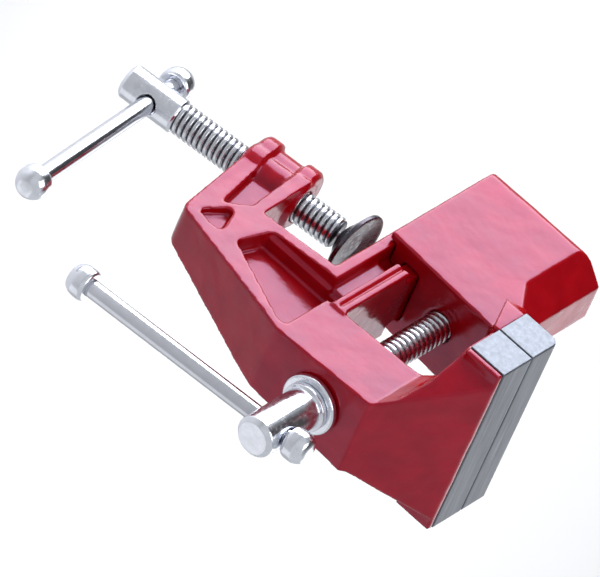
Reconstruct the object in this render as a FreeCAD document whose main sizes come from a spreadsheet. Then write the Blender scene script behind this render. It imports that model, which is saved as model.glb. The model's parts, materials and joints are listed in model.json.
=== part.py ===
import FreeCAD, Part
import Sketcher
import math
import os
import re

# A small clamp-on bench vise.
# +X runs along the lead screw, from the operator's side to the rear. +Y runs along the jaws.
# +Z is up, away from the table. The origin lies on the seat that rests on the table top,
# straight below the line where the closed jaws meet. Lengths are millimetres, angles degrees.

DIMENSIONS = {
    # jaws
    "jaw_width": 60.0,
    "jaw_gap": 0.3,
    "plate_bottom": 49.8,
    "plate_top": 62.0,
    "fixed_plate_depth": 12.0,
    "moving_plate_depth": 11.5,
    "plate_chamfer": 1.8,
    "screw_spacing": 20.0,
    "screw_height": 55.9,
    "screw_radius": 2.0,
    "screw_head_radius": 3.9,
    "screw_length": 16.0,
    "screw_sink": 0.3,
    "screw_edge": 0.2,
    "screw_clearance": 0.08,
    "screw_slot_width": 1.1,
    "screw_slot_depth": 1.2,
    # frame: side view
    "wall_back": -37.0,
    "wall_front": -15.5,
    "bend_height": 41.0,
    "knee_height": 7.0,
    "heel_round": 4.5,
    "shin_x": -26.5,
    "shin_height": -23.0,
    "heel_x": -20.5,
    "heel_height": -40.5,
    "throat_x": -3.5,
    "throat_height": -25.4,
    "base_end": 63.4,
    "base_thickness": 3.8,
    # frame: half widths, from the heel up
    "heel_half": 6.6,
    "base_half": 11.2,
    "bend_half": 13.2,
    "brow_half": 14.4,
    # frame: jaw head
    "fan_low": 40.0,
    "cove_radius": 8.5,
    "eave_low_height": 41.5,
    "eave_mid_half": 15.6,
    "eave_mid_height": 45.3,
    "eave_high_half": 20.5,
    "eave_high_height": 47.8,
    "head_under": 47.4,
    "head_back": -14.4,
    "fan_start_half": 12.3,
    "fan_end_half": 26.0,
    "ledge_half": 29.0,
    # guide rail under the sliding jaw
    "base_corner": 3.5,
    "rail_top": 14.2,
    "rail_neck_top": 8.8,
    "rail_half": 8.5,
    "rail_neck_half": 5.0,
    "rail_clearance": 0.3,
    "shoulder_end": 12.0,
    "shoulder_bottom": 9.4,
    "shoulder_half": 12.4,
    "shoulder_web_half": 7.4,
    "groove_width": 1.1,
    "groove_depth": 0.9,
    # hollows in the sides of the frame
    "pocket_floor_half": 3.2,
    "channel_floor_half": 6.0,
    "channel_width": 4.4,
    "shelf_half": 7.4,
    "shelf_width": 1.4,
    "shelf_low": -18.0,
    "pocket_round": 1.5,
    "rim_width": 3.8,
    "pocket_top": 7.4,
    "pocket_toe_x": -18.8,
    "pocket_toe_height": -22.2,
    "heel_pocket_floor_half": 5.0,
    "heel_pocket_low_x": -17.8,
    "heel_pocket_low_height": -36.9,
    "heel_pocket_front_x": -8.2,
    "heel_pocket_front_height": -31.1,
    "heel_pocket_top_x": -19.8,
    "heel_pocket_top_height": -27.3,
    "arm_pocket_start": -24.0,
    "arm_pocket_end": 3.0,
    "arm_edge": 2.0,
    # sliding jaw
    "block_front": 17.3,
    "block_lean": 2.3,
    "shoulder_x": 27.5,
    "shoulder_height": 41.0,
    "slope_foot_x": 37.5,
    "skirt_bottom": 1.5,
    "block_back": 63.4,
    "block_half": 14.3,
    "block_shoulder": 34.8,
    "block_top": 43.3,
    "block_top_half": 5.8,
    "block_corner": 4.5,
    "wing_back": 29.0,
    "wing_low": 41.0,
    "wing_high": 42.4,
    "gusset_half": 13.0,
    "gusset_foot_x": 29.0,
    "gusset_top": 60.2,
    "gusset_top_x": 14.2,
    # lead screw
    "lead_height": 26.0,
    "lead_radius": 4.4,
    "lead_clearance": 0.1,
    "lead_end": 68.0,
    "lead_head_start": -62.5,
    "lead_head_end": -41.4,
    "lead_head_radius": 6.0,
    "lead_collar_radius": 7.0,
    "lead_collar_end": -39.6,
    "lead_hole_x": -54.0,
    "lead_hole_radius": 2.95,
    "lead_turn": 5.6,
    "washer_radius": 8.7,
    "washer_start": -39.5,
    "washer_thickness": 2.1,
    "inner_washer_start": -15.2,
    "inner_washer_thickness": 1.2,
    "inner_washer_radius": 7.4,
    "clip_start": -13.9,
    "clip_thickness": 1.0,
    "clip_radius": 6.6,
    "clip_groove_radius": 3.5,
    "clip_mouth": 4.4,
    # lead screw bar
    "lead_bar_radius": 2.6,
    "lead_near_knob": 6.4,
    "lead_far_knob": -65.4,
    "lead_knob_radius": 4.8,
    "knob_length": 6.6,
    "knob_socket": 4.0,
    "knob_clearance": 0.05,
    # clamping arm and screw
    "clamp_x": 14.6,
    "clamp_height": -35.0,
    "clamp_lean": 7.0,
    "boss_low": -10.4,
    "boss_high": 10.0,
    "boss_radius": 7.9,
    "boss_core_radius": 6.6,
    "nose_reach": 4.6,
    "nose_radius": 7.8,
    "nose_core_radius": 6.2,
    "flange_thickness": 5.8,
    "web_half": 3.2,
    "clamp_radius": 4.7,
    "clamp_clearance": 0.1,
    "clamp_head_low": -49.7,
    "clamp_head_high": -32.1,
    "clamp_head_radius": 5.2,
    "clamp_end": 22.6,
    "clamp_hole": -40.3,
    "clamp_hole_radius": 2.95,
    "clamp_bar_radius": 2.6,
    "clamp_bar_turn": -8.1,
    "clamp_near_knob": 9.3,
    "clamp_far_knob": -62.5,
    "clamp_knob_radius": 4.8,
    # swivel end of the clamping screw
    "stud_radius": 1.1,
    "stud_depth": 7.0,
    "stud_clearance": 0.06,
    "ball_radius": 1.9,
    "ball_centre": 25.2,
    "ball_clearance": 0.08,
    "pad_radius": 10.8,
    "pad_boss_radius": 5.0,
    "pad_low": 23.5,
    "pad_disc_low": 24.9,
    "pad_high": 28.9,
    "pad_mouth_radius": 1.75,
    "pad_rim_height": 1.1,
    "pad_rim": 0.9,
    "pad_dish": 1.2,
}

doc = FreeCAD.newDocument("BenchVise")
sheet = doc.addObject("Spreadsheet::Sheet", "Dims")
for row, (alias, number) in enumerate(DIMENSIONS.items(), start=1):
    sheet.set(f"A{row}", alias.replace("_", " "))
    sheet.set(f"B{row}", str(number))
    sheet.setAlias(f"B{row}", alias)
doc.recompute()

SYMMETRIC = "Symmetric"
ONE_SIDE = "One side"
MARGIN = 5.0


def formula(text):
    """Point the aliases in a formula at the sheet, as the document's expressions need them."""
    return re.sub(r"\b([a-z][a-z_]*)\b(?!\()", r"Dims.\1", str(text))


def bind(item, path, text):
    item.setExpression(path, formula(text))


def new_body(label):
    body = doc.addObject("PartDesign::Body", label)
    body.Label = label
    return body


def origin_item(body, role):
    return next(item for item in body.Origin.OriginFeatures if item.Role == role)


def new_sketch(body, plane, offset=None, place=None, lean=None):
    """A sketch on one of the body's own planes, moved along its normal, in its plane or turned."""
    sketch = body.newObject("Sketcher::SketchObject", body.Name + "_sketch")
    sketch.AttachmentSupport = [(origin_item(body, plane), "")]
    sketch.MapMode = "FlatFace"
    if lean is not None:
        turn = FreeCAD.Rotation(FreeCAD.Vector(0, 0, -1), 1.0)
        sketch.AttachmentOffset = FreeCAD.Placement(FreeCAD.Vector(), turn)
        bind(sketch, "AttachmentOffset.Rotation.Angle", lean)
    if place is not None:
        bind(sketch, "AttachmentOffset.Base.x", place[0])
        bind(sketch, "AttachmentOffset.Base.y", place[1])
    if offset is not None:
        bind(sketch, "AttachmentOffset.Base.z", offset)
    return sketch


def fix_point(sketch, curve, end, across, along):
    """Hold one point of a curve at its two coordinates, each given as a formula."""
    for kind, text in (("DistanceX", across), ("DistanceY", along)):
        number = sketch.addConstraint(
            Sketcher.Constraint(kind, -1, 1, curve, end, 1.0)
        )
        bind(sketch, f"Constraints[{number}]", text)


def draw_outline(sketch, points):
    """A closed outline of straight lines through points given as pairs of formulas."""
    first = sketch.GeometryCount
    count = len(points)
    rough = [FreeCAD.Vector(5.0 + number, float(number * number), 0) for number in range(count)]
    for number in range(count):
        sketch.addGeometry(Part.LineSegment(rough[number], rough[(number + 1) % count]), False)
    for number in range(count):
        following = first + (number + 1) % count
        sketch.addConstraint(Sketcher.Constraint("Coincident", first + number, 2, following, 1))
    for number, (across, along) in enumerate(points):
        fix_point(sketch, first + number, 1, across, along)


def draw_circle(sketch, across, along, radius):
    circle = Part.Circle(FreeCAD.Vector(1, 1, 0), FreeCAD.Vector(0, 0, 1), 2.0)
    curve = sketch.addGeometry(circle, False)
    fix_point(sketch, curve, 3, across, along)
    number = sketch.addConstraint(Sketcher.Constraint("Radius", curve, 2.0))
    bind(sketch, f"Constraints[{number}]", radius)


def draw_half_disc(sketch, radius):
    """Half a disc to the right of the vertical axis, centred on the sketch's origin."""
    centre = FreeCAD.Vector(0, 0, 0)
    up = FreeCAD.Vector(0, 0, 1)
    circle = Part.Circle(centre, up, 2.0)
    arc = sketch.addGeometry(Part.ArcOfCircle(circle, -math.pi / 2, math.pi / 2))
    line = sketch.addGeometry(Part.LineSegment(FreeCAD.Vector(0, 2, 0), FreeCAD.Vector(0, -2, 0)))
    sketch.addConstraint([
        Sketcher.Constraint("Coincident", arc, 3, -1, 1),
        Sketcher.Constraint("Coincident", arc, 2, line, 1),
        Sketcher.Constraint("Coincident", line, 2, arc, 1),
        Sketcher.Constraint("PointOnObject", arc, 2, -2),
        Sketcher.Constraint("PointOnObject", arc, 1, -2),
    ])
    size = sketch.addConstraint(Sketcher.Constraint("Radius", arc, 2.0))
    bind(sketch, f"Constraints[{size}]", radius)


def rectangle(low_across, low_along, high_across, high_along):
    return [
        (low_across, low_along),
        (high_across, low_along),
        (high_across, high_along),
        (low_across, high_along),
    ]


def mirrored_outline(points):
    """The points of one side, followed by the same points mirrored across the vertical axis."""
    other = [(f"-({across})", along) for across, along in reversed(points)]
    return list(points) + other


def add_pad(body, sketch, length, side=ONE_SIDE):
    pad = body.newObject("PartDesign::Pad", "Pad")
    pad.Profile = sketch
    pad.SideType = side
    bind(pad, "Length", length)
    return pad


def add_pocket(body, sketch, length=None, side=ONE_SIDE, reverse=False):
    """A pocket cuts against its sketch's normal; with no length it goes right through."""
    pocket = body.newObject("PartDesign::Pocket", "Pocket")
    pocket.Profile = sketch
    pocket.SideType = side
    pocket.Reversed = reverse
    if length is None:
        pocket.Type = "ThroughAll"
    else:
        bind(pocket, "Length", length)
    return pocket


def add_turning(body, sketch, kind, axis):
    """A full revolution (or groove) of the sketch about one of its own axes."""
    turning = body.newObject("PartDesign::" + kind, kind)
    turning.Profile = sketch
    turning.ReferenceAxis = (sketch, [axis])
    turning.Angle = 360.0
    return turning


def add_mirror(body, features):
    """The same features again on the other side of the XZ plane."""
    mirror = body.newObject("PartDesign::Mirrored", "Mirrored")
    mirror.Originals = features
    mirror.MirrorPlane = (origin_item(body, "XZ_Plane"), [""])
    body.Tip = mirror
    return mirror


def add_edge_feature(body, kind, size, chosen):
    """Fillet or chamfer the edges of the body so far for which chosen(edge) is true."""
    doc.recompute()
    names = [
        f"Edge{number}"
        for number, edge in enumerate(body.Shape.Edges, start=1)
        if chosen(edge)
    ]
    feature = body.newObject("PartDesign::" + kind, kind)
    feature.Base = (body.Group[-2], names)
    bind(feature, "Radius" if kind == "Fillet" else "Size", size)
    body.Tip = feature
    return feature


def dim(alias):
    return DIMENSIONS[alias]


def near(one, other):
    return abs(one - other) < 1e-4


def runs_along(edge, axis):
    """Is this a straight edge parallel to the given axis, 0 for X, 1 for Y or 2 for Z?"""
    if edge.Curve.TypeId != "Part::GeomLine":
        return False
    direction = edge.Curve.Direction
    return abs(abs(direction[axis]) - 1.0) < 1e-6


SLOPE = "((plate_top - bend_height) / (head_back - wall_back))"
FIXED_SEAT = "(-jaw_gap / 2 - fixed_plate_depth)"
MOVING_SEAT = "(jaw_gap / 2 + moving_plate_depth)"
LEDGE_FRONT = "(jaw_gap / 2 + 0.5)"


def on_arm(across, along):
    """A point given by its offsets across and along the leaning clamp axis, as X and Z."""
    return (
        f"clamp_x + ({across}) * cos(clamp_lean * 1deg) + ({along}) * sin(clamp_lean * 1deg)",
        f"clamp_height - ({across}) * sin(clamp_lean * 1deg) + ({along}) * cos(clamp_lean * 1deg)",
    )


def build_frame():
    """The casting: C-shaped clamp arm, base with its guide rail, wall and fixed jaw head."""
    body = new_body("frame_casting")

    side = new_sketch(body, "XZ_Plane")
    draw_outline(side, [
        ("wall_back", "knee_height"),
        ("shin_x", "shin_height"),
        ("heel_x", "heel_height"),
        on_arm("arm_edge", "boss_low + 0.6"),
        on_arm("arm_edge", "boss_high - 0.6"),
        ("throat_x", "throat_height"),
        ("throat_x", "0"),
        ("base_end", "0"),
        ("base_end", "base_thickness"),
        ("wall_front", "base_thickness"),
        ("wall_front", f"bend_height + (wall_front - wall_back) * {SLOPE}"),
        ("wall_back", "bend_height"),
    ])
    add_pad(body, side, "2 * brow_half + 1", SYMMETRIC)
    add_edge_feature(body, "Fillet", "heel_round", lambda edge: (
        runs_along(edge, 1)
        and near(edge.CenterOfMass.x, dim("heel_x"))
        and near(edge.CenterOfMass.z, dim("heel_height"))
    ))

    flank = new_sketch(body, "YZ_Plane")
    draw_outline(flank, [
        ("heel_half", f"heel_height - 4 * {MARGIN}"),
        ("heel_half", "heel_height"),
        ("base_half", "0"),
        ("bend_half", "bend_height"),
        ("brow_half", f"plate_top + {MARGIN}"),
        (f"brow_half + {MARGIN}", f"plate_top + {MARGIN}"),
        (f"brow_half + {MARGIN}", f"heel_height - 4 * {MARGIN}"),
    ])
    add_mirror(body, [add_pocket(body, flank, side=SYMMETRIC)])

    fan = new_sketch(body, "XY_Plane", offset="fan_low")
    fan_side = [
        ("wall_back", "fan_start_half"),
        ("head_back", "fan_end_half"),
        (FIXED_SEAT, "ledge_half"),
        (f"-{LEDGE_FRONT}", "ledge_half"),
    ]
    draw_outline(fan, fan_side + [(along, f"-{half}") for along, half in reversed(fan_side)])
    add_pad(body, fan, "plate_top - fan_low")

    seat = new_sketch(body, "XZ_Plane")
    draw_outline(seat, rectangle(FIXED_SEAT, "plate_bottom", f"{MARGIN}", f"plate_top + {MARGIN}"))
    add_pocket(body, seat, side=SYMMETRIC)

    brow = new_sketch(body, "XZ_Plane")
    draw_outline(brow, [
        (f"wall_back - {MARGIN}", f"bend_height - {MARGIN} * {SLOPE}"),
        ("head_back", "plate_top"),
        ("head_back", f"plate_top + {MARGIN}"),
        (f"wall_back - {MARGIN}", f"plate_top + {MARGIN}"),
    ])
    add_pocket(body, brow, side=SYMMETRIC)

    window = new_sketch(body, "XZ_Plane")
    draw_outline(window, rectangle("wall_front", "fan_low - 1", f"{MARGIN}", "head_under"))
    add_pocket(body, window, side=SYMMETRIC)
    add_edge_feature(body, "Fillet", "cove_radius", lambda edge: (
        runs_along(edge, 1)
        and near(edge.CenterOfMass.x, dim("wall_front"))
        and near(edge.CenterOfMass.z, dim("head_under"))
    ))

    eave = new_sketch(body, "YZ_Plane")
    draw_outline(eave, [
        ("bend_half", "fan_low - 1"),
        ("bend_half", "eave_low_height"),
        ("eave_mid_half", "eave_mid_height"),
        ("eave_high_half", "eave_high_height"),
        ("ledge_half + 1", "plate_bottom - 1"),
        ("ledge_half + 1", "fan_low - 1"),
    ])
    add_mirror(body, [add_pocket(body, eave, side=SYMMETRIC)])

    flange = new_sketch(body, "XY_Plane", offset="plate_bottom")
    draw_outline(flange, rectangle("head_back", "-jaw_width / 2", FIXED_SEAT, "jaw_width / 2"))
    add_pad(body, flange, "plate_top - plate_bottom")

    corner = new_sketch(body, "XY_Plane")
    draw_outline(corner, [
        ("base_end - base_corner", "base_half + 0.5"),
        ("base_end + 1", "base_half + 0.5"),
        ("base_end + 1", "base_half - base_corner - 0.5"),
    ])
    add_mirror(body, [add_pocket(body, corner, side=SYMMETRIC)])

    rail = new_sketch(body, "YZ_Plane", offset="wall_front - 1")
    draw_outline(rail, mirrored_outline([
        ("rail_neck_half", "base_thickness - 0.5"),
        ("rail_neck_half", "rail_neck_top"),
        ("rail_half", "rail_neck_top"),
        ("rail_half", "rail_top"),
    ]))
    add_pad(body, rail, "base_end - wall_front + 1")

    shoulder = new_sketch(body, "YZ_Plane", offset="wall_front - 1")
    draw_outline(shoulder, mirrored_outline([
        ("shoulder_web_half", "base_thickness - 0.5"),
        ("shoulder_web_half", "shoulder_bottom"),
        ("shoulder_half", "shoulder_bottom"),
        ("shoulder_half", "rail_top"),
    ]))
    add_pad(body, shoulder, "shoulder_end - wall_front + 1")

    groove = new_sketch(body, "YZ_Plane", offset="wall_front")
    groove_low = "shoulder_bottom + 1.6"
    draw_outline(groove, rectangle(
        "shoulder_half - groove_depth", groove_low, "shoulder_half + 1", f"{groove_low} + groove_width"
    ))
    add_mirror(body, [add_pocket(body, groove, "shoulder_end - wall_front + 1", reverse=True)])

    channel = new_sketch(body, "XZ_Plane", offset="-channel_floor_half")
    channel_right = "throat_x - rim_width"
    draw_outline(channel, rectangle(
        f"{channel_right} - channel_width", "base_thickness", channel_right, "shoulder_bottom"
    ))
    channel_cut = add_pocket(body, channel)

    pocket_right = f"({channel_right} - shelf_width)"
    pocket_left = "(wall_back + rim_width)"
    shelf = new_sketch(body, "XZ_Plane", offset="-shelf_half")
    draw_outline(shelf, [
        (channel_right, "shelf_low"),
        (pocket_right, "shelf_low - 1.2"),
        (pocket_right, "base_thickness"),
        (channel_right, "base_thickness"),
    ])
    shelf_cut = add_pocket(body, shelf)

    pocket = new_sketch(body, "XZ_Plane", offset="-pocket_floor_half")
    draw_outline(pocket, [
        (pocket_right, "shelf_low - 1.2"),
        ("pocket_toe_x", "pocket_toe_height"),
        (pocket_left, "pocket_top - 2.8"),
        (pocket_left, "pocket_top"),
        (pocket_right, "pocket_top"),
    ])
    pocket_cut = add_pocket(body, pocket)

    heel_pocket = new_sketch(body, "XZ_Plane", offset="-heel_pocket_floor_half")
    draw_outline(heel_pocket, [
        ("heel_pocket_low_x", "heel_pocket_low_height"),
        ("heel_pocket_front_x", "heel_pocket_front_height"),
        ("heel_pocket_top_x", "heel_pocket_top_height"),
    ])
    heel_cut = add_pocket(body, heel_pocket)

    arm = new_sketch(
        body, "XZ_Plane", offset="-web_half", place=("clamp_x", "clamp_height"), lean="clamp_lean"
    )
    draw_outline(arm, [
        ("arm_pocket_end", "boss_low + flange_thickness"),
        ("arm_pocket_end", "boss_high - flange_thickness"),
        ("arm_pocket_start + 5", "boss_high - flange_thickness - 1"),
        ("arm_pocket_start", "boss_low + flange_thickness + 1.5"),
    ])
    arm_cut = add_pocket(body, arm)
    add_mirror(body, [channel_cut, shelf_cut, pocket_cut, heel_cut, arm_cut])
    rim_x = dim("wall_back") + dim("rim_width")
    corners = [
        (rim_x, dim("pocket_top")),
        (rim_x, dim("pocket_top") - 2.8),
        (dim("pocket_toe_x"), dim("pocket_toe_height")),
        (dim("heel_pocket_low_x"), dim("heel_pocket_low_height")),
        (dim("heel_pocket_front_x"), dim("heel_pocket_front_height")),
        (dim("heel_pocket_top_x"), dim("heel_pocket_top_height")),
    ]
    add_edge_feature(body, "Fillet", "pocket_round", lambda edge: (
        runs_along(edge, 1)
        and abs(edge.CenterOfMass.y) > dim("web_half") / 2
        and any(
            near(edge.CenterOfMass.x, across) and near(edge.CenterOfMass.z, along)
            for across, along in corners
        )
    ))

    boss = new_sketch(body, "XZ_Plane", place=("clamp_x", "clamp_height"), lean="clamp_lean")
    draw_outline(boss, [
        ("0", "boss_low"),
        ("boss_radius - 1.2", "boss_low"),
        ("boss_radius", "boss_low + 1.2"),
        ("boss_radius", "boss_low + flange_thickness"),
        ("boss_core_radius", "boss_low + flange_thickness"),
        ("boss_core_radius", "boss_high - flange_thickness"),
        ("boss_radius", "boss_high - flange_thickness"),
        ("boss_radius", "boss_high - 1.2"),
        ("boss_radius - 1.2", "boss_high"),
        ("0", "boss_high"),
    ])
    add_turning(body, boss, "Revolution", "V_Axis")

    nose = new_sketch(body, "XZ_Plane", place=on_arm("nose_reach", "0"), lean="clamp_lean")
    draw_outline(nose, [
        ("0", "boss_low + 0.5"),
        ("nose_radius - 1.2", "boss_low + 0.5"),
        ("nose_radius", "boss_low + 1.7"),
        ("nose_radius", "boss_low + flange_thickness"),
        ("nose_core_radius", "boss_low + flange_thickness + 0.6"),
        ("nose_core_radius", "boss_high - flange_thickness - 0.6"),
        ("nose_radius", "boss_high - flange_thickness"),
        ("nose_radius", "boss_high - 1.7"),
        ("nose_radius - 1.2", "boss_high - 0.5"),
        ("0", "boss_high - 0.5"),
    ])
    add_turning(body, nose, "Revolution", "V_Axis")

    clamp_bore = new_sketch(body, "XZ_Plane", place=("clamp_x", "clamp_height"), lean="clamp_lean")
    draw_outline(clamp_bore, rectangle(
        "0", f"boss_low - {MARGIN}", "clamp_radius + clamp_clearance", f"boss_high + {MARGIN}"
    ))
    add_turning(body, clamp_bore, "Groove", "V_Axis")

    lead_bore = new_sketch(body, "YZ_Plane")
    draw_circle(lead_bore, "0", "lead_height", "lead_radius + lead_clearance")
    add_pocket(body, lead_bore, side=SYMMETRIC)

    tapped = new_sketch(body, "YZ_Plane", offset=FIXED_SEAT)
    for sign in ("", "-"):
        draw_circle(
            tapped, f"{sign}screw_spacing / 2", "screw_height", "screw_radius + screw_clearance"
        )
    add_pocket(body, tapped, "screw_length - fixed_plate_depth + 1")
    return body


def build_sliding_jaw():
    """The casting that rides on the rail: block, wings under the plate and gusset behind it."""
    body = new_body("sliding_jaw")

    wings = new_sketch(body, "XZ_Plane")
    draw_outline(wings, [
        (LEDGE_FRONT, "head_under"),
        (LEDGE_FRONT, "plate_bottom"),
        (MOVING_SEAT, "plate_bottom"),
        ("wing_back", "wing_high"),
        ("wing_back", "wing_low"),
        ("block_front - block_lean", "wing_low"),
    ])
    add_pad(body, wings, "2 * ledge_half", SYMMETRIC)

    plan = new_sketch(body, "XY_Plane")
    draw_outline(plan, [
        (MOVING_SEAT, "ledge_half"),
        ("wing_back", "block_half"),
        (f"wing_back + {MARGIN}", "block_half"),
        (f"wing_back + {MARGIN}", f"ledge_half + {MARGIN}"),
        (MOVING_SEAT, f"ledge_half + {MARGIN}"),
    ])
    add_mirror(body, [add_pocket(body, plan, side=SYMMETRIC)])

    block = new_sketch(body, "YZ_Plane", offset="block_front")
    block_bottom = "(base_thickness + rail_clearance)"
    draw_outline(block, mirrored_outline([
        ("block_half", "skirt_bottom"),
        ("block_half", "block_shoulder"),
        ("block_top_half", "block_top"),
    ]))
    add_pad(body, block, "block_back - block_front")

    shoulder = new_sketch(body, "XZ_Plane")
    draw_outline(shoulder, [
        ("block_front", "skirt_bottom"),
        ("block_front - block_lean", "shoulder_height"),
        ("block_front", "shoulder_height + 1"),
        ("shoulder_x", "shoulder_height + 1"),
        ("slope_foot_x", "block_shoulder"),
        ("slope_foot_x", "skirt_bottom"),
    ])
    add_pad(body, shoulder, "2 * block_half", SYMMETRIC)

    gusset = new_sketch(body, "XZ_Plane")
    draw_outline(gusset, [
        (MOVING_SEAT, "head_under"),
        (MOVING_SEAT, "gusset_top"),
        ("gusset_top_x", "gusset_top"),
        ("gusset_foot_x", "block_top"),
        ("gusset_foot_x", "block_shoulder"),
    ])
    add_pad(body, gusset, "2 * gusset_half", SYMMETRIC)

    base_gap = new_sketch(body, "YZ_Plane")
    base_gap_half = "(base_half + 0.2 + rail_clearance)"
    draw_outline(base_gap, rectangle(f"-{base_gap_half}", "-1", base_gap_half, block_bottom))
    add_pocket(body, base_gap, side=SYMMETRIC)

    channel = new_sketch(body, "YZ_Plane")
    draw_outline(channel, mirrored_outline([
        ("rail_neck_half + rail_clearance", f"{block_bottom} - {MARGIN}"),
        ("rail_neck_half + rail_clearance", "rail_neck_top - rail_clearance"),
        ("rail_half + rail_clearance", "rail_neck_top - rail_clearance"),
        ("rail_half + rail_clearance", "rail_top + rail_clearance"),
    ]))
    add_pocket(body, channel, side=SYMMETRIC)

    lead_bore = new_sketch(body, "YZ_Plane")
    draw_circle(lead_bore, "0", "lead_height", "lead_radius + lead_clearance")
    add_pocket(body, lead_bore, side=SYMMETRIC)

    tapped = new_sketch(body, "YZ_Plane", offset=MOVING_SEAT)
    for sign in ("", "-"):
        draw_circle(
            tapped, f"{sign}screw_spacing / 2", "screw_height", "screw_radius + screw_clearance"
        )
    add_pocket(body, tapped, "screw_length - moving_plate_depth + 0.6", reverse=True)

    add_edge_feature(body, "Fillet", "block_corner", lambda edge: (
        runs_along(edge, 2)
        and near(edge.CenterOfMass.x, dim("block_back"))
        and near(abs(edge.CenterOfMass.y), dim("block_half"))
    ))
    return body


def build_plate(label, section, front, way):
    """One jaw plate, a bar with two countersunk holes; way is the side its back faces."""
    body = new_body(label)
    bar = new_sketch(body, "XZ_Plane")
    draw_outline(bar, section)
    add_pad(body, bar, "jaw_width", SYMMETRIC)

    holes = new_sketch(body, "YZ_Plane", offset=front)
    for sign in ("", "-"):
        draw_circle(holes, f"{sign}screw_spacing / 2", "screw_height", "screw_radius")
    doc.recompute()
    hole = body.newObject("PartDesign::Hole", "Hole")
    hole.Profile = holes
    hole.DepthType = "ThroughAll"
    hole.Reversed = way > 0
    hole.HoleCutType = "Countersink"
    hole.HoleCutCustomValues = True
    hole.HoleCutCountersinkAngle = 90.0
    bind(hole, "Diameter", "2 * (screw_radius + screw_clearance)")
    bind(
        hole,
        "HoleCutDiameter",
        "2 * (screw_head_radius + screw_sink + screw_edge + 2 * screw_clearance)",
    )
    return body


def build_screws(label, front, sign):
    """A pair of slotted countersunk screws; sign points from the head into the casting."""
    body = new_body(label)
    body.AllowCompound = True
    turned = new_sketch(
        body, "XZ_Plane", offset="-screw_spacing / 2", place=(front, "screw_height")
    )
    cone = "(screw_head_radius - screw_radius)"
    draw_outline(turned, [
        (f"{sign}screw_sink", "0"),
        (f"{sign}screw_sink", "screw_head_radius"),
        (f"{sign}(screw_sink + screw_edge)", "screw_head_radius"),
        (f"{sign}(screw_sink + screw_edge + {cone})", "screw_radius"),
        (f"{sign}(screw_length - 0.6)", "screw_radius"),
        (f"{sign}screw_length", "screw_radius - 0.6"),
        (f"{sign}screw_length", "0"),
    ])
    turning = add_turning(body, turned, "Revolution", "H_Axis")

    slot = new_sketch(
        body, "XZ_Plane", offset="-screw_spacing / 2", place=(front, "screw_height")
    )
    draw_outline(slot, rectangle(
        f"{sign}(screw_sink - 0.5)",
        "-screw_slot_width / 2",
        f"{sign}(screw_sink + screw_slot_depth)",
        "screw_slot_width / 2",
    ))
    cut = add_pocket(body, slot, "2 * screw_head_radius + 1", SYMMETRIC)
    add_mirror(body, [turning, cut])
    return body


LEAD_PLACE = (
    "placement(vector(0; 0; lead_height); rotation(vector(-1; 0; 0); lead_turn))"
)
CLAMP_PLACE = (
    "placement(vector(clamp_x; 0; clamp_height); rotation(vector(0; 1; 0); clamp_lean)"
    " * rotation(vector(0; 0; 1); clamp_bar_turn))"
)
PAD_PLACE = (
    "placement(vector(clamp_x + ball_centre * sin(clamp_lean * 1deg); 0;"
    " clamp_height + ball_centre * cos(clamp_lean * 1deg)); rotation(vector(0; 1; 0); 0))"
)


def placed_body(label, place):
    body = new_body(label)
    bind(body, "Placement", place)
    return body


def build_turned(label, place, axis, points, seat=None):
    """A body of revolution about the local X or Z axis, or about a parallel through seat."""
    body = placed_body(label, place)
    sketch = new_sketch(body, "XZ_Plane", place=seat)
    if axis == "H_Axis":
        draw_outline(sketch, points)
    else:
        draw_outline(sketch, [(radius, along) for along, radius in points])
    add_turning(body, sketch, "Revolution", axis)
    return body


def build_lead_screw():
    body = build_turned("lead_screw", LEAD_PLACE, "H_Axis", [
        ("lead_head_start", "0"),
        ("lead_head_start", "lead_head_radius - 1.2"),
        ("lead_head_start + 1.2", "lead_head_radius"),
        ("lead_head_end", "lead_head_radius"),
        ("lead_head_end", "lead_collar_radius"),
        ("lead_collar_end", "lead_collar_radius"),
        ("lead_collar_end", "lead_radius"),
        ("clip_start", "lead_radius"),
        ("clip_start", "clip_groove_radius"),
        ("clip_start + clip_thickness", "clip_groove_radius"),
        ("clip_start + clip_thickness", "lead_radius"),
        ("lead_end - 1", "lead_radius"),
        ("lead_end", "lead_radius - 1"),
        ("lead_end", "0"),
    ])
    hole = new_sketch(body, "XY_Plane")
    draw_circle(hole, "lead_hole_x", "0", "lead_hole_radius")
    add_pocket(body, hole, side=SYMMETRIC)
    return body


def build_ring(label, start, thickness, outer, inner):
    return build_turned(label, LEAD_PLACE, "H_Axis", rectangle(
        start, inner, f"{start} + {thickness}", outer
    ))


def build_clip():
    """The spring clip in the groove of the lead screw, open at the bottom."""
    inner = "clip_groove_radius + lead_clearance / 2"
    start = "clip_start + 0.05"
    body = build_ring("lead_retaining_clip", start, "clip_thickness - 0.1", "clip_radius", inner)
    mouth = new_sketch(body, "YZ_Plane")
    draw_outline(mouth, rectangle(
        "-clip_mouth / 2", f"-clip_radius - {MARGIN}", "clip_mouth / 2", "0"
    ))
    add_pocket(body, mouth, side=SYMMETRIC)
    return body


def build_bar(label, place, axis, seat, ends, radius):
    low, high = ends
    return build_turned(label, place, axis, [
        (f"{low} - knob_socket", "0"),
        (f"{low} - knob_socket", radius),
        (f"{high} + knob_socket", radius),
        (f"{high} + knob_socket", "0"),
    ], seat)


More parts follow.
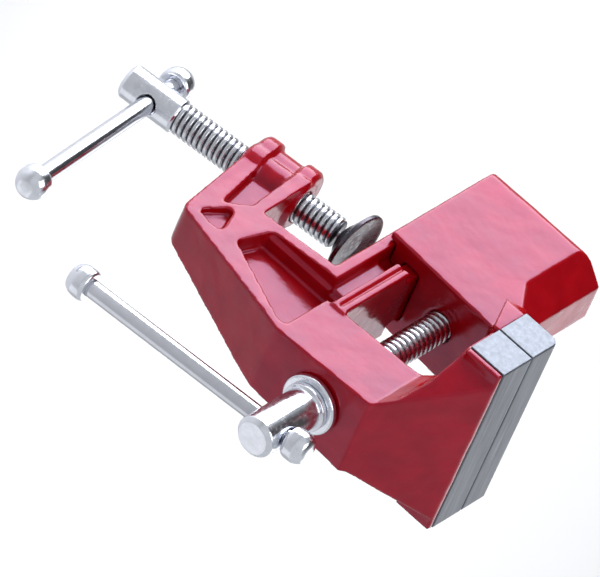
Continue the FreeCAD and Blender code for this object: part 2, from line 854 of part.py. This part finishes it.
def build_knob(label, place, axis, seat, start, sign, radius, bar_radius):
    """A turned end knob; sign points away from the middle of the bar."""
    socket = f"{bar_radius} + knob_clearance"
    bottom = f"{start} {sign} (knob_socket + 0.3)"
    return build_turned(label, place, axis, [
        (f"{start}", socket),
        (f"{start}", f"{radius} - 0.7"),
        (f"{start} {sign} 0.5", radius),
        (f"{start} {sign} (knob_length - 2.2)", radius),
        (f"{start} {sign} (knob_length - 1)", f"{radius} - 0.4"),
        (f"{start} {sign} (knob_length - 0.3)", f"{radius} - 1.2"),
        (f"{start} {sign} knob_length", f"{radius} - 2.4"),
        (f"{start} {sign} knob_length", "0"),
        (bottom, "0"),
        (bottom, socket),
    ], seat)


def build_clamp_screw():
    body = build_turned("clamp_screw", CLAMP_PLACE, "V_Axis", [
        ("clamp_head_low", "0"),
        ("clamp_head_low", "clamp_head_radius - 1"),
        ("clamp_head_low + 1", "clamp_head_radius"),
        ("clamp_head_high", "clamp_head_radius"),
        ("clamp_head_high", "clamp_radius"),
        ("clamp_end - 0.8", "clamp_radius"),
        ("clamp_end", "clamp_radius - 0.8"),
        ("clamp_end", "stud_radius + stud_clearance"),
        ("clamp_end - stud_depth - 0.3", "stud_radius + stud_clearance"),
        ("clamp_end - stud_depth - 0.3", "0"),
    ])
    hole = new_sketch(body, "YZ_Plane")
    draw_circle(hole, "0", "clamp_hole", "clamp_hole_radius")
    add_pocket(body, hole, side=SYMMETRIC)
    return body


def build_stud():
    """The ball stud that turns freely in the end of the clamp screw and carries the pad."""
    body = build_turned("clamp_ball_stud", CLAMP_PLACE, "V_Axis", rectangle(
        "clamp_end - stud_depth", "0", "ball_centre", "stud_radius"
    ))
    ball = new_sketch(body, "XZ_Plane", place=("0", "ball_centre"))
    draw_half_disc(ball, "ball_radius")
    add_turning(body, ball, "Revolution", "V_Axis")
    return body


def build_pad_body():
    low = "(pad_low - ball_centre)"
    rim = "(pad_high - ball_centre)"
    body = build_turned("clamp_pad", PAD_PLACE, "V_Axis", [
        (low, "0"),
        (low, "pad_mouth_radius + 0.5"),
        (f"{low} + 1.2", "pad_boss_radius"),
        ("pad_disc_low - ball_centre", "pad_boss_radius"),
        (f"{rim} - pad_rim_height", "pad_radius"),
        (rim, "pad_radius"),
        (rim, "pad_radius - pad_rim"),
        (f"{rim} - pad_dish", "pad_boss_radius - 1"),
        (f"{rim} - pad_dish", "0"),
    ])
    socket = new_sketch(body, "XZ_Plane")
    draw_half_disc(socket, "ball_radius + ball_clearance")
    add_turning(body, socket, "Groove", "V_Axis")
    mouth = new_sketch(body, "XZ_Plane")
    draw_outline(mouth, rectangle("0", f"pad_low - ball_centre - {MARGIN}", "pad_mouth_radius", "-1"))
    add_turning(body, mouth, "Groove", "V_Axis")
    return body


LEAD_SEAT = ("lead_hole_x", "0")
LEAD_ENDS = ("lead_far_knob", "lead_near_knob")
CLAMP_SEAT = ("0", "clamp_hole")
CLAMP_ENDS = ("clamp_far_knob", "clamp_near_knob")

bodies = [
    build_frame(),
    build_sliding_jaw(),
    build_plate(
        "fixed_jaw_plate",
        rectangle(FIXED_SEAT, "plate_bottom", "-jaw_gap / 2", "plate_top"),
        "-jaw_gap / 2",
        -1,
    ),
    build_plate(
        "moving_jaw_plate",
        [
            ("jaw_gap / 2", "plate_bottom"),
            (MOVING_SEAT, "plate_bottom"),
            (MOVING_SEAT, "plate_top - plate_chamfer"),
            (f"{MOVING_SEAT} - plate_chamfer", "plate_top"),
            ("jaw_gap / 2", "plate_top"),
        ],
        "jaw_gap / 2",
        1,
    ),
    build_screws("fixed_jaw_plate_screws", "-jaw_gap / 2", "-"),
    build_screws("moving_jaw_plate_screws", "jaw_gap / 2", ""),
    build_lead_screw(),
    build_ring(
        "lead_thrust_washer", "washer_start", "washer_thickness", "washer_radius",
        "lead_radius + lead_clearance",
    ),
    build_ring(
        "lead_inner_washer", "inner_washer_start", "inner_washer_thickness",
        "inner_washer_radius", "lead_radius + lead_clearance",
    ),
    build_clip(),
    build_bar("lead_bar", LEAD_PLACE, "V_Axis", LEAD_SEAT, LEAD_ENDS, "lead_bar_radius"),
    build_clamp_screw(),
    build_bar("clamp_bar", CLAMP_PLACE, "H_Axis", CLAMP_SEAT, CLAMP_ENDS, "clamp_bar_radius"),
    build_stud(),
    build_pad_body(),
]
for end, start, sign in (("near", "near_knob", "+"), ("far", "far_knob", "-")):
    bodies.append(build_knob(
        f"lead_bar_knob_{end}", LEAD_PLACE, "V_Axis", LEAD_SEAT,
        f"lead_{start}", sign, "lead_knob_radius", "lead_bar_radius",
    ))
    bodies.append(build_knob(
        f"clamp_bar_knob_{end}", CLAMP_PLACE, "H_Axis", CLAMP_SEAT,
        f"clamp_{start}", sign, "clamp_knob_radius", "clamp_bar_radius",
    ))

doc.recompute()
for item in doc.Objects:
    if "Invalid" in item.State or "Error" in item.State:
        raise RuntimeError(f"{item.Label}: {item.State}")
for body in bodies:
    if body.Shape.isNull() or not body.Shape.isValid():
        raise RuntimeError(f"{body.Label}: no valid solid")
    body.Shape.exportStep(f"parts/{body.Label}.step")
    print(body.Label, len(body.Shape.Solids), round(body.Shape.Volume, 1))
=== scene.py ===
import bmesh
import bpy
import json
import math
from mathutils import Matrix, Vector, noise


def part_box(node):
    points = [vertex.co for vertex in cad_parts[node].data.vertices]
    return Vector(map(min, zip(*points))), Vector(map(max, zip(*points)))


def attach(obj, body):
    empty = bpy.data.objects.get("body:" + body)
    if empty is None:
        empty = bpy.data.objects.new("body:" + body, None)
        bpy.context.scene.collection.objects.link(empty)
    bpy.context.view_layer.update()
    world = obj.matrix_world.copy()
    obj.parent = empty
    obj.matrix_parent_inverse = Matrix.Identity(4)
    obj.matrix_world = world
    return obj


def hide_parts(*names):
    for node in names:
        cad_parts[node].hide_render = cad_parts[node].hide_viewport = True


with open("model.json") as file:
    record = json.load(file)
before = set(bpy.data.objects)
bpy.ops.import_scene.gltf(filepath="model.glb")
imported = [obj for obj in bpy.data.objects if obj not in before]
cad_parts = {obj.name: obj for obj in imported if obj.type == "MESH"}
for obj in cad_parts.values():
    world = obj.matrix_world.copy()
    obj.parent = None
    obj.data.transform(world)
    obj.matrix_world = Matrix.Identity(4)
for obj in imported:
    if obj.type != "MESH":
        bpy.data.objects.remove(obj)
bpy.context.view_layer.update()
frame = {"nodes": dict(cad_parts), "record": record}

MM = 0.001
NODES = frame["nodes"]
JOINTS = {joint["name"]: joint for joint in frame["record"]["behaviour"]["joints"]}
scene = bpy.context.scene


# ---------------------------------------------------------------- sizes

# How strongly each kind of surface is rounded off: the remesh grid, the smoothing passes
# and, for a casting, the size of its unevenness.
CAST = {"voxel": 0.45 * MM, "passes": 9, "wave": 0.10 * MM}
GROUND = {"voxel": 0.3 * MM, "passes": 2}
TURNED = {"voxel": 0.25 * MM, "passes": 4}
PRESSED = {"voxel": 0.2 * MM, "passes": 2}
WIDE_RIPPLE = 9 * MM
FINE_RIPPLE = 3.5 * MM
FINE_SHARE = 0.4
RIPPLE_SINK = 0.6

# Places along the lead screw are world X; its axis lies at the joint's height.
LEAD_THREAD = {
    "start": -13.3 * MM, "end": 68 * MM,
    "radius": 4.4 * MM, "pitch": 2 * MM, "depth": 0.8 * MM,
}
LEAD_HEAD_END = -13.5 * MM
LEAD_HOLE_X = -54 * MM
LEAD_BORE = 4.5 * MM

# Places along the clamp screw are counted from its joint's position, towards the pad.
CLAMP_THREAD = {
    "start": -32.0 * MM, "end": 22.6 * MM,
    "radius": 4.7 * MM, "pitch": 1.75 * MM, "depth": 0.75 * MM,
}
CLAMP_HEAD_END = -31.6 * MM
CLAMP_HOLE = -40.3 * MM

# Both handles are alike. Their knobs' inner faces are KNOB_SPAN apart, and the bar goes
# KNOB_GRIP into each knob. A near knob's inner face is counted from the screw's axis.
BAR_RADIUS = 2.6 * MM
KNOB_SPAN = 71.8 * MM
KNOB_GRIP = 3.95 * MM
KNOB_LENGTH = 6.6 * MM
KNOB_RADIUS = 4.8 * MM
LEAD_KNOB_NEAR = 6.4 * MM
CLAMP_KNOB_NEAR = 9.3 * MM


# ---------------------------------------------------------------- materials

class Shader:
    """A material with a Principled surface, built node by node."""

    def __init__(self, name):
        self.material = bpy.data.materials.new(name)
        self.material.use_nodes = True
        self.tree = self.material.node_tree
        self.surface = self.tree.nodes["Principled BSDF"]
        self.place = self.tree.nodes.new("ShaderNodeTexCoord").outputs["Object"]

    def put(self, **values):
        """Set inputs of the surface: an output is linked, a tuple is a colour."""
        for key, value in values.items():
            socket = self.surface.inputs[key.replace("_", " ")]
            if hasattr(value, "is_linked"):
                self.tree.links.new(value, socket)
            elif isinstance(value, tuple):
                socket.default_value = (*value, 1.0)
            else:
                socket.default_value = value

    def stretched(self, factors):
        """Object coordinates scaled by factors, so that a grain is drawn out along the low ones."""
        node = self.tree.nodes.new("ShaderNodeMapping")
        node.inputs["Scale"].default_value = factors
        self.tree.links.new(self.place, node.inputs["Vector"])
        return node.outputs["Vector"]

    def grain(self, size, detail, rough=0.5, place=None):
        """Noise whose blobs are about size metres across."""
        node = self.tree.nodes.new("ShaderNodeTexNoise")
        node.inputs["Scale"].default_value = 1.0 / size
        node.inputs["Detail"].default_value = detail
        node.inputs["Roughness"].default_value = rough
        self.tree.links.new(place or self.place, node.inputs["Vector"])
        return node.outputs["Fac"]

    def spread(self, source, low, high):
        """Map a noise, which mostly lies in 0.3..0.7, to low..high."""
        node = self.tree.nodes.new("ShaderNodeMapRange")
        self.tree.links.new(source, node.inputs["Value"])
        for key, value in (("From Min", 0.3), ("From Max", 0.7), ("To Min", low), ("To Max", high)):
            node.inputs[key].default_value = value
        return node.outputs["Result"]

    def colours(self, source, low, high, start=0.35, end=0.65):
        """Blend from colour low to colour high as source goes from start to end."""
        node = self.tree.nodes.new("ShaderNodeValToRGB")
        first, last = node.color_ramp.elements
        first.position = start
        last.position = end
        first.color = (*low, 1.0)
        last.color = (*high, 1.0)
        self.tree.links.new(source, node.inputs["Fac"])
        return node.outputs["Color"]

    def bump(self, *layers):
        """Chain of bumps, each (height output, depth in metres)."""
        normal = None
        for height, depth in layers:
            node = self.tree.nodes.new("ShaderNodeBump")
            node.inputs["Distance"].default_value = depth
            self.tree.links.new(height, node.inputs["Height"])
            if normal is not None:
                self.tree.links.new(normal, node.inputs["Normal"])
            normal = node.outputs["Normal"]
        self.tree.links.new(normal, self.surface.inputs["Normal"])


def enamel():
    """Thick glossy red paint, a little uneven."""
    paint = Shader("red_enamel")
    blotch = paint.grain(9 * MM, 3.0)
    paint.put(
        Base_Color=paint.colours(blotch, (0.26, 0.0008, 0.003), (0.33, 0.0015, 0.005)),
        Roughness=paint.spread(paint.grain(3 * MM, 2.0), 0.13, 0.22),
        Specular_IOR_Level=0.5,
        Specular_Tint=(1.0, 0.60, 1.0),
    )
    paint.bump((paint.grain(7 * MM, 2.0), 0.22 * MM), (paint.grain(1.6 * MM, 2.0), 0.04 * MM))
    return paint.material


def plated(name, colour, rough, mottle):
    """Smooth metal whose colour is darker by up to mottle in cloudy patches."""
    metal = Shader(name)
    cloud = metal.grain(2.5 * MM, 3.0)
    dark = tuple(channel * (1.0 - mottle) for channel in colour)
    metal.put(
        Base_Color=metal.colours(cloud, dark, colour),
        Metallic=1.0,
        Roughness=metal.spread(metal.grain(1.2 * MM, 3.0), rough * 0.7, rough * 1.4),
    )
    metal.bump((metal.grain(1.2 * MM, 2.0), 0.01 * MM), (metal.grain(5 * MM, 1.0), 0.06 * MM))
    return metal.material


def brushed():
    """Ground steel with fine lines along Y, the plates' length."""
    steel = Shader("ground_steel")
    lines = steel.grain(0.3 * MM, 3.0, 0.6, steel.stretched((1.0, 0.02, 1.0)))
    bands = steel.grain(1.6 * MM, 3.0, 0.6, steel.stretched((1.0, 0.05, 1.0)))
    steel.put(
        Base_Color=steel.colours(bands, (0.14, 0.15, 0.17), (0.20, 0.215, 0.245), 0.3, 0.7),
        Metallic=1.0,
        Roughness=steel.spread(lines, 0.40, 0.56),
    )
    steel.bump((lines, 0.035 * MM), (steel.grain(4 * MM, 2.0), 0.05 * MM))
    return steel.material


RED = enamel()
STEEL = brushed()
ZINC = plated("bright_zinc", colour=(0.78, 0.80, 0.86), rough=0.20, mottle=0.10)
# The pad's very dark colour is painted shade, standing in for the shade on its dished face.
SHADED_DISC = plated("pad_steel_painted_shade", colour=(0.10, 0.09, 0.11), rough=0.30, mottle=0.3)
THREAD = plated("thread_zinc", colour=(0.64, 0.65, 0.69), rough=0.24, mottle=0.12)
# The groove material is painted shade: a darker colour for the faces low in a thread.
GROOVE_SHADE = plated("thread_groove_shade", colour=(0.13, 0.13, 0.15), rough=0.35, mottle=0.2)
CHROME = plated("bar_chrome", colour=(0.62, 0.63, 0.68), rough=0.17, mottle=0.06)
SPRING = plated("spring_steel", colour=(0.20, 0.20, 0.22), rough=0.35, mottle=0.3)


# ---------------------------------------------------------------- pieces and their meshes

def dress(obj, body, material, slot, *nodes):
    """Give a piece its material and body, and the CAD nodes it stands for."""
    obj.data.materials.clear()
    obj.data.materials.append(material)
    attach(obj, body)
    if nodes:
        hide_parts(*nodes)


def recolour(node, material):
    """Give a CAD node that is shown as it is its material."""
    NODES[node].data.materials.clear()
    NODES[node].data.materials.append(material)


def shade_smooth(mesh):
    mesh.polygons.foreach_set("use_smooth", [True] * len(mesh.polygons))


def new_object(name, mesh):
    obj = bpy.data.objects.new(name, mesh)
    scene.collection.objects.link(obj)
    return obj


def object_from(work, name, place):
    """Turn a finished bmesh into an object, moved to its place."""
    bmesh.ops.recalc_face_normals(work, faces=work.faces[:])
    mesh = bpy.data.meshes.new(name)
    work.to_mesh(mesh)
    work.free()
    mesh.transform(place)
    shade_smooth(mesh)
    return new_object(name, mesh)


def cut_off(mesh, point, normal):
    """Remove what lies past a plane, on the side its normal points to, and close the cut."""
    weld = 1e-6
    work = bmesh.new()
    work.from_mesh(mesh)
    bmesh.ops.remove_doubles(work, verts=work.verts[:], dist=weld)
    everything = work.verts[:] + work.edges[:] + work.faces[:]
    bmesh.ops.bisect_plane(work, geom=everything, plane_co=point, plane_no=normal, clear_outer=True)
    rim = [edge for edge in work.edges if edge.is_boundary]
    bmesh.ops.holes_fill(work, edges=rim, sides=0)
    work.to_mesh(mesh)
    work.free()


def make_uneven(mesh, box, wave):
    """Sink the surface by about wave in soft ripples, and keep it within the node's box."""
    low, high = (Vector(corner) for corner in box)
    places = [vertex.co.copy() for vertex in mesh.vertices]
    normals = [vertex.vector.copy() for vertex in mesh.vertex_normals]
    flat = []
    for place, normal in zip(places, normals):
        ripple = noise.noise(place / WIDE_RIPPLE) + FINE_SHARE * noise.noise(place / FINE_RIPPLE)
        moved = place + normal * (wave * (ripple - RIPPLE_SINK))
        flat.extend(min(max(moved[i], low[i]), high[i]) for i in range(3))
    mesh.vertices.foreach_set("co", flat)
    mesh.update()


def soften(name, node, voxel, passes, wave=0.0, cut=None):
    """A copy of a CAD node with its edges rounded off, as casting, paint or wear leave them."""
    obj = new_object(name, NODES[node].data.copy())
    if cut is not None:
        cut_off(obj.data, *cut)
    remesh = obj.modifiers.new("remesh", "REMESH")
    remesh.mode = "VOXEL"
    remesh.voxel_size = voxel
    smooth = obj.modifiers.new("smooth", "SMOOTH")
    smooth.factor = 0.5
    smooth.iterations = passes
    graph = bpy.context.evaluated_depsgraph_get()
    mesh = bpy.data.meshes.new_from_object(obj.evaluated_get(graph))
    obj.modifiers.clear()
    obj.data = mesh
    if wave:
        make_uneven(mesh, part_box(node), wave)
    shade_smooth(mesh)
    return obj


def rounded(points, reach, steps=4):
    """Replace each inner corner of an open profile with a small curve."""
    most_of_side = 0.45
    result = [Vector(points[0])]
    for before, corner, after in zip(points, points[1:], points[2:]):
        corner = Vector(corner)
        back = Vector(before) - corner
        ahead = Vector(after) - corner
        cut = min(reach, most_of_side * back.length, most_of_side * ahead.length)
        start = corner + back.normalized() * cut
        end = corner + ahead.normalized() * cut
        for step in range(steps + 1):
            t = step / steps
            result.append(start * (1 - t) ** 2 + corner * (2 * t * (1 - t)) + end * t ** 2)
    result.append(Vector(points[-1]))
    return result


def skin(work, rings, segments):
    """Join neighbouring rings of vertices with faces. A ring of one vertex is a pole."""
    for one, two in zip(rings, rings[1:]):
        for number in range(segments):
            following = (number + 1) % segments
            corners = [one[number % len(one)], one[following % len(one)],
                       two[following % len(two)], two[number % len(two)]]
            corners = list(dict.fromkeys(corners))
            if len(corners) > 2:
                work.faces.new(corners)


def lathe(name, place, profile, segments):
    """Turn a profile of (distance along, radius) about the local Z axis of place."""
    on_axis = 1e-7
    work = bmesh.new()
    angles = [2 * math.pi * number / segments for number in range(segments)]
    rings = []
    for along, radius in profile:
        if radius < on_axis:
            rings.append([work.verts.new((0, 0, along))])
            continue
        points = [(radius * math.cos(angle), radius * math.sin(angle), along) for angle in angles]
        rings.append([work.verts.new(point) for point in points])
    skin(work, rings, segments)
    return object_from(work, name, place)


def threaded(name, place, start, end, radius, pitch, depth):
    """A threaded rod along the local Z axis of place, its crests rounded."""
    segments = 72
    levels_per_turn = 14
    levels = int(round((end - start) / pitch * levels_per_turn))
    crest_width = 1.6
    chamfer = 0.8 * MM
    chamfer_slope = 0.8
    work = bmesh.new()
    rings = []
    for level in range(levels + 1):
        along = start + (end - start) * level / levels
        from_end = min(along - start, end - along)
        ring = []
        for number in range(segments):
            angle = 2 * math.pi * number / segments
            phase = (along / pitch - number / segments) % 1.0
            wave = min(1.0, crest_width * abs(2 * phase - 1))
            sink = depth * (1 - wave * wave * (3 - 2 * wave))
            if from_end < chamfer:
                sink = max(sink, (chamfer - from_end) * chamfer_slope)
            reach = radius - sink
            ring.append(work.verts.new((reach * math.cos(angle), reach * math.sin(angle), along)))
        rings.append(ring)
    skin(work, rings, segments)
    work.faces.new(list(reversed(rings[0])))
    work.faces.new(rings[-1])
    return object_from(work, name, place)


def paint_groove_shade(obj, place, radius, depth):
    """Give the faces low in a thread the darker groove material: painted shade in the thread's
    grooves.
    """
    groove_share = 0.62
    obj.data.materials.append(GROOVE_SHADE)
    into = place.inverted()
    for face in obj.data.polygons:
        centre = into @ face.center
        if math.hypot(centre.x, centre.y) < radius - groove_share * depth:
            face.material_index = 1


# ---------------------------------------------------------------- parts made of those meshes

def screw_thread(name, place, body, thread):
    """The threaded length of a screw, as a piece beside the screw's head."""
    obj = threaded(name, place, **thread)
    dress(obj, body, THREAD, "zinc")
    # Faces low in the thread get painted shade.
    paint_groove_shade(obj, place, thread["radius"], thread["depth"])


def washer(name, node, start, end, outer, soft):
    """A washer on the lead screw, its corners softened."""
    middle = ((start + end) / 2, LEAD_BORE)
    corners = [(start, LEAD_BORE), (start, outer), (end, outer), (end, LEAD_BORE)]
    points = rounded([middle] + corners + [middle], soft)
    dress(lathe(name, LEAD, points, segments=96), "lead", ZINC, "zinc", node)


def bar(name, place, low, high, body, node):
    """A round bar with softened ends."""
    profile = [(low, 0), (low, BAR_RADIUS), (high, BAR_RADIUS), (high, 0)]
    points = rounded(profile, reach=0.4 * MM)
    dress(lathe(name, place, points, segments=48), body, CHROME, "bar_chrome", node)


def knob(name, place, start, sign, body, node):
    """A drum-shaped end knob, its flat face on the bar's side and its outer end domed.

    The profile's points are (distance outward from start, radius).
    """
    profile = [
        (0, BAR_RADIUS + 0.06 * MM),
        (0, KNOB_RADIUS - 0.5 * MM),
        (0.15 * KNOB_LENGTH, KNOB_RADIUS),
        (0.6 * KNOB_LENGTH, KNOB_RADIUS),
        (0.92 * KNOB_LENGTH, KNOB_RADIUS - 1.1 * MM),
        (KNOB_LENGTH, KNOB_RADIUS - 2.6 * MM),
        (KNOB_LENGTH, 0),
    ]
    soft_profile = rounded(profile, reach=1.2 * MM, steps=6)
    points = [(start + sign * along, radius) for along, radius in soft_profile]
    dress(lathe(name, place, points, segments=64), body, ZINC, "zinc", node)


def handle(screw, place, near):
    """A screw's sliding bar and its two knobs. The near knob's inner face is at near."""
    body = screw + "_handle"
    far = near - KNOB_SPAN
    bar(screw + "_bar_rod", place, far - KNOB_GRIP, near + KNOB_GRIP, body, screw + "_bar")
    knob(screw + "_knob_near", place, near, 1, body, screw + "_bar_knob_near")
    knob(screw + "_knob_far", place, far, -1, body, screw + "_bar_knob_far")


# ---------------------------------------------------------------- where things are

def frame_along(point, direction):
    """A placement whose local Z axis runs through point along direction."""
    turn = Vector((0, 0, 1)).rotation_difference(Vector(direction))
    return Matrix.Translation(point) @ turn.to_matrix().to_4x4()


LEAD_AXIS = Vector((1, 0, 0))
LEAD_AXIS_HEIGHT = JOINTS["lead_screw_turn"]["pos_m"][2]
LEAD = frame_along((0, 0, LEAD_AXIS_HEIGHT), LEAD_AXIS)
LEAD_BAR = frame_along((LEAD_HOLE_X, 0, LEAD_AXIS_HEIGHT), JOINTS["lead_bar_slide"]["axis"])

CLAMP_AXIS = Vector(JOINTS["clamp_travel"]["axis"])
CLAMP_START = Vector(JOINTS["clamp_screw_turn"]["pos_m"])
CLAMP = frame_along(CLAMP_START, CLAMP_AXIS)
CLAMP_BAR = frame_along(CLAMP_START + CLAMP_AXIS * CLAMP_HOLE, JOINTS["clamp_bar_slide"]["axis"])


# ---------------------------------------------------------------- castings and plates

dress(soften("frame_casting_body", "frame_casting", **CAST),
      "frame", RED, "casting_red", "frame_casting")
dress(soften("sliding_jaw_body", "sliding_jaw", **CAST),
      "jaw", RED, "casting_red", "sliding_jaw")
dress(soften("fixed_plate", "fixed_jaw_plate", **GROUND),
      "frame", STEEL, "jaw_steel", "fixed_jaw_plate")
dress(soften("moving_plate", "moving_jaw_plate", **GROUND),
      "jaw", STEEL, "jaw_steel", "moving_jaw_plate")
recolour("fixed_jaw_plate_screws", ZINC)
recolour("moving_jaw_plate_screws", ZINC)


# ---------------------------------------------------------------- lead screw and its handle

lead_cut = (LEAD_AXIS * LEAD_HEAD_END, LEAD_AXIS)
dress(soften("lead_screw_head", "lead_screw", **TURNED, cut=lead_cut),
      "lead", ZINC, "zinc", "lead_screw")
screw_thread("lead_screw_thread", LEAD, "lead", LEAD_THREAD)
washer("thrust_washer", "lead_thrust_washer",
       start=-39.5 * MM, end=-37.4 * MM, outer=8.7 * MM, soft=0.7 * MM)
washer("inner_washer", "lead_inner_washer",
       start=-15.2 * MM, end=-14.0 * MM, outer=7.4 * MM, soft=0.35 * MM)
recolour("lead_retaining_clip", SPRING)
handle("lead", LEAD_BAR, LEAD_KNOB_NEAR)


# ---------------------------------------------------------------- clamp screw, its handle and its pad

clamp_cut = (CLAMP_START + CLAMP_AXIS * CLAMP_HEAD_END, CLAMP_AXIS)
dress(soften("clamp_screw_head", "clamp_screw", **TURNED, cut=clamp_cut),
      "clamp", ZINC, "zinc", "clamp_screw")
screw_thread("clamp_screw_thread", CLAMP, "clamp", CLAMP_THREAD)
handle("clamp", CLAMP_BAR, CLAMP_KNOB_NEAR)
recolour("clamp_ball_stud", ZINC)
# The pad's very dark material is painted shade.
dress(soften("clamp_pad_body", "clamp_pad", **PRESSED), "pad", SHADED_DISC, "pad_steel", "clamp_pad")


# ---------------------------------------------------------------- floor and sky

FLOOR_LEVEL = -0.45
FLOOR_SIZE = 8.0
SKY_COLOUR = (0.95, 0.97, 1.0, 1.0)
SKY_DARK_WAY = (0.681, 0.223, 0.69)
SKY_RANGE = {"From Min": 0.62, "From Max": 0.92, "To Min": 0.70, "To Max": 0.06}

bpy.ops.mesh.primitive_plane_add(size=FLOOR_SIZE, location=(0, 0, FLOOR_LEVEL))
floor = bpy.context.object
floor.name = "floor"
pale = Shader("pale_floor")
pale.put(Base_Color=(0.93, 0.93, 0.94), Roughness=0.9)
floor.data.materials.append(pale.material)

# The sky is evenly bright but for a dark patch in one direction, for contrast in reflections.
world = bpy.data.worlds.new("studio")
scene.world = world
world.use_nodes = True
sky = world.node_tree
toward_dark = sky.nodes.new("ShaderNodeVectorMath")
toward_dark.operation = "DOT_PRODUCT"
toward_dark.inputs[1].default_value = SKY_DARK_WAY
way = sky.nodes.new("ShaderNodeTexCoord").outputs["Generated"]
sky.links.new(way, toward_dark.inputs[0])
glow = sky.nodes.new("ShaderNodeMapRange")
sky.links.new(toward_dark.outputs["Value"], glow.inputs["Value"])
for key, value in SKY_RANGE.items():
    glow.inputs[key].default_value = value
sky.nodes["Background"].inputs["Color"].default_value = SKY_COLOUR
sky.links.new(glow.outputs["Result"], sky.nodes["Background"].inputs["Strength"])


# ---------------------------------------------------------------- lights

FOCUS = Vector((0, 0, 26 * MM))


def area_light(name, direction, distance, size, power, colour=(1.0, 1.0, 1.0)):
    """A rectangular light that faces the vise from direction."""
    data = bpy.data.lights.new(name, "AREA")
    data.shape = "RECTANGLE"
    data.size, data.size_y = size
    data.energy = power
    data.color = colour
    light = bpy.data.objects.new(name, data)
    scene.collection.objects.link(light)
    away = Vector(direction).normalized()
    light.location = FOCUS + away * distance
    light.rotation_euler = away.to_track_quat("Z", "Y").to_euler()


# As the camera sees them, faces towards +Y mirror side_glow, faces towards -X mirror
# low_card and faces on top mirror rear_card.
area_light("side_glow", (0.70, 0.63, -0.36), distance=0.65, size=(0.55, 0.58), power=6.4,
           colour=(0.92, 0.95, 1.0))
area_light("top_key", (0.1, 0.5, 0.9), distance=1.2, size=(0.8, 0.8), power=6.0)
area_light("low_card", (-0.681, -0.662, -0.312), distance=0.8, size=(0.6, 0.5), power=0.4)
area_light("rear_card", (0.681, -0.662, 0.312), distance=1.2, size=(0.7, 0.7), power=1.6)

# This spot shines straight down, on the stretch of floor that the camera sees.
backdrop_data = bpy.data.lights.new("backdrop", "SPOT")
backdrop_data.energy = 22.0
backdrop_data.spot_size = math.radians(75.0)
backdrop_data.spot_blend = 0.6
backdrop_data.shadow_soft_size = 0.1
backdrop = bpy.data.objects.new("backdrop", backdrop_data)
backdrop.location = (1.04, -1.01, 0.5)
scene.collection.objects.link(backdrop)


# ---------------------------------------------------------------- camera

# A very long lens, because the photo is close to a parallel view.
PICTURE_WIDTH = 0.160
LENS = 1000.0
SENSOR = 36.0
AIM_LEFT = 26.7 * MM
AIM_UP = 16.3 * MM
TOWARD = Vector((-0.681, 0.662, 0.312)).normalized()
UP_GUIDE = Vector((0.374, 0.681, -0.630))
RIGHT = UP_GUIDE.cross(TOWARD).normalized()
UP = TOWARD.cross(RIGHT)

camera_data = bpy.data.cameras.new("camera")
camera_data.lens = LENS
camera_data.sensor_width = SENSOR
camera_data.clip_start = 0.05
camera_data.clip_end = 60.0
camera = bpy.data.objects.new("camera", camera_data)
scene.collection.objects.link(camera)
aim = FOCUS - RIGHT * AIM_LEFT + UP * AIM_UP
spot = aim + TOWARD * (PICTURE_WIDTH * LENS / SENSOR)
turn = Matrix((RIGHT, UP, TOWARD)).transposed()
camera.matrix_world = Matrix.Translation(spot) @ turn.to_4x4()
scene.camera = camera

scene.view_settings.view_transform = "Standard"
